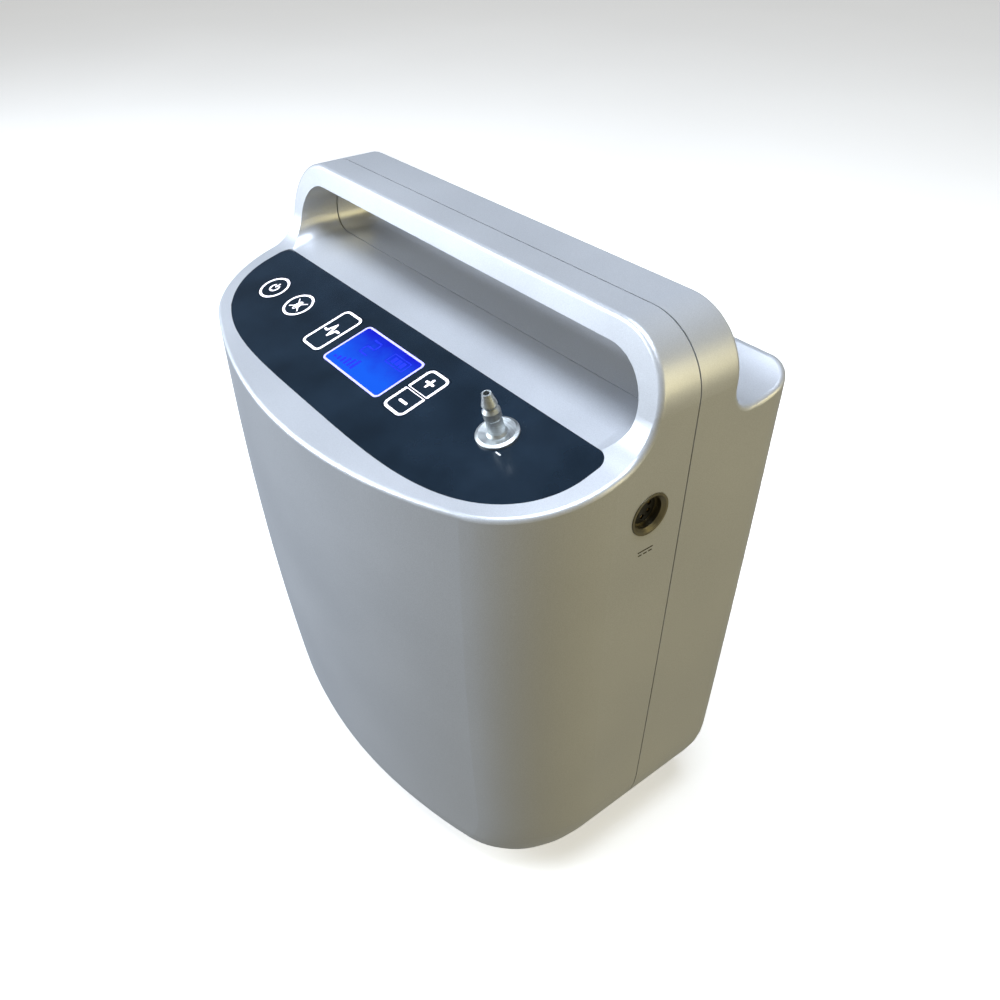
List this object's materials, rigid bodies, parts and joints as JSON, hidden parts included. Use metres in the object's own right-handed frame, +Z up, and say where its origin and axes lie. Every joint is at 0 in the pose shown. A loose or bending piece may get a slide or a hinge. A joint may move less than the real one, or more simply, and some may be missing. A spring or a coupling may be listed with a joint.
{
  "type": "portable oxygen concentrator",
  "caption": "Upright portable oxygen concentrator with a built-in carry handle, sloping control panel with lit display, hose outlet, side power inlet and slide-out battery.",
  "frame": {"origin": "on the floor under the middle of the case", "axes": "+Z up, +X to the right of a person who faces the front, +Y to the back"},
  "size_m": [0.2564, 0.156, 0.292],
  "materials": {
    "case_paint": "satin silver paint with a fine grain over moulded plastic",
    "seam_rubber": "matte black",
    "panel_black": "glossy dark navy-black overlay",
    "key_black": "glossy black key caps with white symbols",
    "lcd_glass": "blue backlit display window",
    "lcd_body": "display module with backlight",
    "frame_plastic": "black moulded plastic",
    "board_green": "glass-fibre circuit board with solder mask",
    "component_black": "moulded components",
    "barb_steel": "turned stainless steel",
    "socket_metal": "nickel plated",
    "insert_black": "black insert",
    "pin_brass": "gold-plated contacts",
    "foot_rubber": "matte rubber",
    "screw_steel": "zinc-plated steel",
    "battery_shell": "satin silver moulded plastic",
    "cell_wrap": "heat-shrink wrapped cells",
    "latch_grey": "dark grey plastic",
    "vent_grey": "grey moulded plastic",
    "foam_black": "open-cell foam",
    "aluminium_cast": "cast aluminium",
    "lamination_steel": "laminated electrical steel",
    "copper_wire": "enamelled copper wire",
    "canister_white": "moulded canisters",
    "canister_aluminium": "drawn aluminium",
    "manifold_plastic": "glass-filled nylon",
    "valve_grey": "valve coils",
    "chassis_steel": "sheet metal",
    "tube_silicone": "silicone tube"
  },
  "bodies": {
    "housing": {"alarm_buzzer": "component_black", "battery_socket": "frame_plastic", "bed_tube": "tube_silicone", "board_components": "component_black", "board_standoffs": "screw_steel", "case_screws": "screw_steel", "chassis_plate": "chassis_steel", "chassis_screws": "screw_steel", "compressor_housing": "aluminium_cast", "compressor_mounts": "foot_rubber", "dc_inlet_insert": "insert_black", "dc_inlet_pins": "pin_brass", "dc_inlet_shell": "socket_metal", "display_board": "board_green", "exhaust_grille": "vent_grey", "exhaust_muffler": "foam_black", "fan_housing": "frame_plastic", "fixed_scroll": "aluminium_cast", "front_shell": "case_paint", "intake_filter": "foam_black", "intake_muffler": "frame_plastic", "key_switches": "component_black", "lcd_frame": "frame_plastic", "lcd_module": "lcd_body", "lcd_window": "lcd_glass", "main_bearing": "aluminium_cast", "main_board": "board_green", "motor_stator": "lamination_steel", "motor_windings": "copper_wire", "outlet_barb": "barb_steel", "outlet_nut": "barb_steel", "outlet_tube": "tube_silicone", "oxygen_sensor": "valve_grey", "panel_overlay": "panel_black", "product_tank": "canister_white", "pump_tube": "tube_silicone", "rear_shell": "case_paint", "rubber_feet": "foot_rubber", "seam_gasket": "seam_rubber", "sieve_bed_inner": "canister_aluminium", "sieve_bed_outer": "canister_aluminium", "solenoid_valves": "valve_grey", "valve_manifold": "manifold_plastic"},
    "power_key": {"power_key": "key_black"},
    "alarm_mute_key": {"alarm_mute_key": "key_black"},
    "mode_key": {"mode_key": "key_black"},
    "plus_key": {"plus_key": "key_black"},
    "minus_key": {"minus_key": "key_black"},
    "battery": {"battery_case": "battery_shell", "battery_cells": "cell_wrap", "battery_terminals": "pin_brass"},
    "battery_latch": {"battery_latch": "latch_grey"},
    "intake_cover": {"intake_cover": "vent_grey"},
    "fan_rotor": {"fan_rotor": "component_black"},
    "drive_shaft": {"crankshaft": "screw_steel", "motor_rotor": "lamination_steel"},
    "orbiting_scroll": {"orbiting_scroll": "aluminium_cast"}
  },
  "joints": [
    {"name": "power_key_press", "type": "slide", "parent": "housing", "child": "power_key", "axis": [0, 0.2588, -0.9659], "range_m": [0, 0.0005], "stiffness_N_per_m": 1500},
    {"name": "alarm_mute_key_press", "type": "slide", "parent": "housing", "child": "alarm_mute_key", "axis": [0, 0.2588, -0.9659], "range_m": [0, 0.0005], "stiffness_N_per_m": 1500},
    {"name": "mode_key_press", "type": "slide", "parent": "housing", "child": "mode_key", "axis": [0, 0.2588, -0.9659], "range_m": [0, 0.0005], "stiffness_N_per_m": 1500},
    {"name": "plus_key_press", "type": "slide", "parent": "housing", "child": "plus_key", "axis": [0, 0.2588, -0.9659], "range_m": [0, 0.0005], "stiffness_N_per_m": 1500},
    {"name": "minus_key_press", "type": "slide", "parent": "housing", "child": "minus_key", "axis": [0, 0.2588, -0.9659], "range_m": [0, 0.0005], "stiffness_N_per_m": 1500},
    {"name": "battery_slide", "type": "slide", "parent": "housing", "child": "battery", "axis": [0, 1, 0], "range_m": [0, 0.055]},
    {"name": "battery_latch_slide", "type": "slide", "parent": "battery", "child": "battery_latch", "axis": [0, 0, 1], "range_m": [0, 0.003], "stiffness_N_per_m": 40},
    {"name": "intake_cover_pull", "type": "slide", "parent": "housing", "child": "intake_cover", "axis": [0, 1, 0], "range_m": [0, 0.012]},
    {"name": "fan_spin", "type": "hinge", "parent": "housing", "child": "fan_rotor", "pos_m": [0.065, 0.05, 0.2], "axis": [0, 1, 0], "continuous": true},
    {"name": "compressor_spin", "type": "hinge", "parent": "housing", "child": "drive_shaft", "pos_m": [-0.052, -0.014, 0.05], "axis": [0, 0, 1], "continuous": true},
    {"name": "scroll_orbit", "type": "hinge", "parent": "drive_shaft", "child": "orbiting_scroll", "pos_m": [-0.048, -0.014, 0.078], "axis": [0, 0, 1], "continuous": true}
  ],
  "couplings": [
    {"joint": "scroll_orbit", "follows": "compressor_spin", "ratio": -1}
  ]
}
